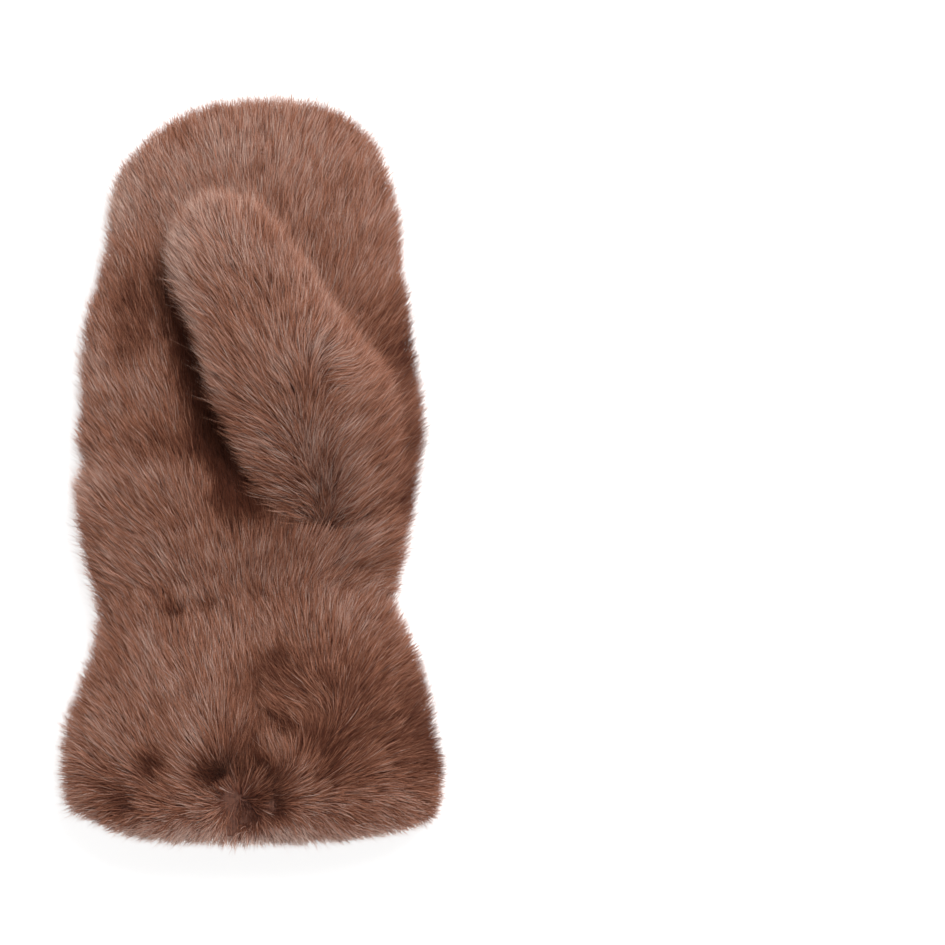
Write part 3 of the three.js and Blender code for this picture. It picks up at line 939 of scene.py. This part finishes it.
def handSheet(turnFrom, turnTo):
    # Root places on one panel of the hand, from the wrist seam to just short of the fingertips
    along = np.linspace(mitten["wristSeam"], tipAlong - sheetGrid["endGap"], sheetGrid["rows"])[:, None]
    turn = np.linspace(turnFrom, turnTo, sheetGrid["columns"])[None, :]
    along, turn = np.broadcast_arrays(along, turn)
    return sheetOf(handSurface(along, turn))


def cuffSheet(turnFrom, turnTo):
    # Root places on the cuff, from a little way up its inside, round the hem and up to the wrist
    along, share = cuffProfile(hem["end"] + hem["innerReach"], sheetGrid["cuffRows"])
    turn = np.linspace(turnFrom, turnTo, sheetGrid["columns"])[None, :]
    return sheetOf(cuffPoint(*np.broadcast_arrays(along, share, turn)))


def thumbSheet():
    # Root places all round the thumb, just short of its two ends
    gap = sheetGrid["endGap"]
    along = np.linspace(thumbStart + gap, thumbStop - gap, sheetGrid["rows"])[:, None]
    turn = np.linspace(0, 2 * np.pi, sheetGrid["columns"])[None, :]
    along, turn = np.broadcast_arrays(along, turn)
    return sheetOf(thumbPoint(along, turn, thumbInset(along, turn)))


pileEnds = {  # how deep in the other form roots still grow: 1 is its surface, and less is deeper
    "inThumb": 0.8, "underThumb": 0.45, "underX": 45, "underTop": 34,
    "inHand": 0.95, "atThumbFoot": 0.58, "footTop": 0, "footFacing": 0.35,
}


def offThumb(root, normal):
    # The hand's pile ends at the thumb, but goes on below it round the side
    under = (root[:, 0] > pileEnds["underX"]) & (root[:, 2] < pileEnds["underTop"])
    return thumbDepth(root) > np.where(under, pileEnds["underThumb"], pileEnds["inThumb"])


def offHand(root, normal):
    # The thumb's flanks end at the palm's pile, and its top runs on down to its foot
    onFoot = (normal[:, 2] > pileEnds["footFacing"]) & (root[:, 1] < pileEnds["footTop"])
    return bodyDepth(root) > np.where(onFoot, pileEnds["atThumbFoot"], pileEnds["inHand"])


def addFur(name, sheet, leanAt, styles, seed, keep=None):
    # One piece from all the styles' hairs, each style with a seed of its own
    tufts = [growHair(sheet, style, leanAt, seed + 10 * i, keep) for i, style in enumerate(styles)]
    piece = hairPiece(name, tufts)
    piece.data.materials.append(furFinish)
    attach(piece, "root")


furFinish = furMaterial(hairColour)
palmSheet = handSheet(0, np.pi)
addFur("hand_palm_fur", palmSheet, lambda p: brushedLean(p, handGuides),
       [dict(underfur, count=76000)], seed=100, keep=offThumb)
addFur("hand_palm_guard_hair", palmSheet, lambda p: brushedLean(p, handGuides),
       [dict(guardHair, count=38000), dict(strayHair, count=2500), dict(edgeHair, count=32000)],
       seed=200, keep=offThumb)
addFur("hand_back_fur", handSheet(np.pi, 2 * np.pi), backLean,
       [dict(underfur, count=25000, width=0.55), dict(guardHair, count=3000, width=0.4)], seed=300)
addFur("thumb_fur", thumbSheet(), lambda p: brushedLean(p, thumbGuides),
       [dict(underfur, count=38000), dict(guardHair, count=26000), dict(strayHair, count=1200)],
       seed=400, keep=offHand)
cuffPalmSheet = cuffSheet(0, np.pi)
addFur("cuff_palm_fur", cuffPalmSheet, lambda p: brushedLean(p, cuffGuides),
       [dict(underfur, count=43000)], seed=500)
addFur("cuff_palm_guard_hair", cuffPalmSheet, lambda p: brushedLean(p, cuffGuides),
       [dict(guardHair, count=20000), dict(strayHair, count=1200), dict(edgeHair, count=18000)], seed=510)
addFur("cuff_back_fur", cuffSheet(np.pi, 2 * np.pi), lambda p: brushedLean(p, cuffGuides),
       [dict(underfur, count=14500, width=0.55), dict(guardHair, count=2000, width=0.4)], seed=600)
print("fur ready")

# Floor, light and camera

studio = {
    "floorSize": 6, "floorColour": linear(190, 190, 190), "floorRough": 0.9, "floorGlow": 0.8,
    "ambient": 0.44, "backdrop": 1.1,  # strength of the surround as light, and as seen past the floor
    "keyPower": 34, "keySize": 0.7, "keyPlace": (0.42, 0.75, 1.65),
    "viewHeight": 4, "frameWidth": 353.7 * mm, "frameCentre": (82.3 * mm, -0.6 * mm), "sensor": 36,
}


def makeFloor():
    # A plain square under the mitten, which glows so that it stays pale
    half = studio["floorSize"] / 2 / mm
    corners = np.array([(-half, -half, 0), (half, -half, 0), (half, half, 0), (-half, half, 0)])
    floor = addPiece("floor", corners, np.array([[0, 1, 2, 3]]))
    material, nodes, links, shader = newMaterial("paleFloor")
    shader.inputs["Base Color"].default_value = studio["floorColour"]
    shader.inputs["Roughness"].default_value = studio["floorRough"]
    shader.inputs["Specular IOR Level"].default_value = 0
    shader.inputs["Emission Color"].default_value = (1, 1, 1, 1)
    shader.inputs["Emission Strength"].default_value = studio["floorGlow"]
    floor.data.materials.append(material)


def makeLight():
    # A plain white surround, and one soft lamp high on the upper right, turned to the mitten
    world = bpy.data.worlds.new("studio")
    world.use_nodes = True
    nodes, links = world.node_tree.nodes, world.node_tree.links
    ray = nodes.new("ShaderNodeLightPath")
    strength = nodes.new("ShaderNodeMapRange")
    strength.inputs["To Min"].default_value = studio["ambient"]
    strength.inputs["To Max"].default_value = studio["backdrop"]
    links.new(ray.outputs["Is Camera Ray"], strength.inputs["Value"])
    links.new(strength.outputs["Result"], nodes["Background"].inputs["Strength"])
    nodes["Background"].inputs["Color"].default_value = (1, 1, 1, 1)
    bpy.context.scene.world = world
    lamp = bpy.data.lights.new("key", "AREA")
    lamp.energy = studio["keyPower"]
    lamp.size = studio["keySize"]
    key = bpy.data.objects.new("key", lamp)
    key.location = studio["keyPlace"]
    key.rotation_euler = key.location.to_track_quat("Z", "Y").to_euler()
    bpy.context.scene.collection.objects.link(key)


def makeCamera():
    # Straight above: focal length = sensor x height above the side seam / width seen at that level
    lens = bpy.data.cameras.new("camera")
    lens.sensor_width = studio["sensor"]
    lens.lens = studio["sensor"] * studio["viewHeight"] / studio["frameWidth"]
    seamLevel = mitten["seamHeight"] * mm
    camera = bpy.data.objects.new("camera", lens)
    camera.location = (*studio["frameCentre"], studio["viewHeight"] + seamLevel)
    bpy.context.scene.collection.objects.link(camera)
    bpy.context.scene.camera = camera


makeFloor()
makeLight()
makeCamera()
bpy.context.scene.view_settings.view_transform = "Standard"
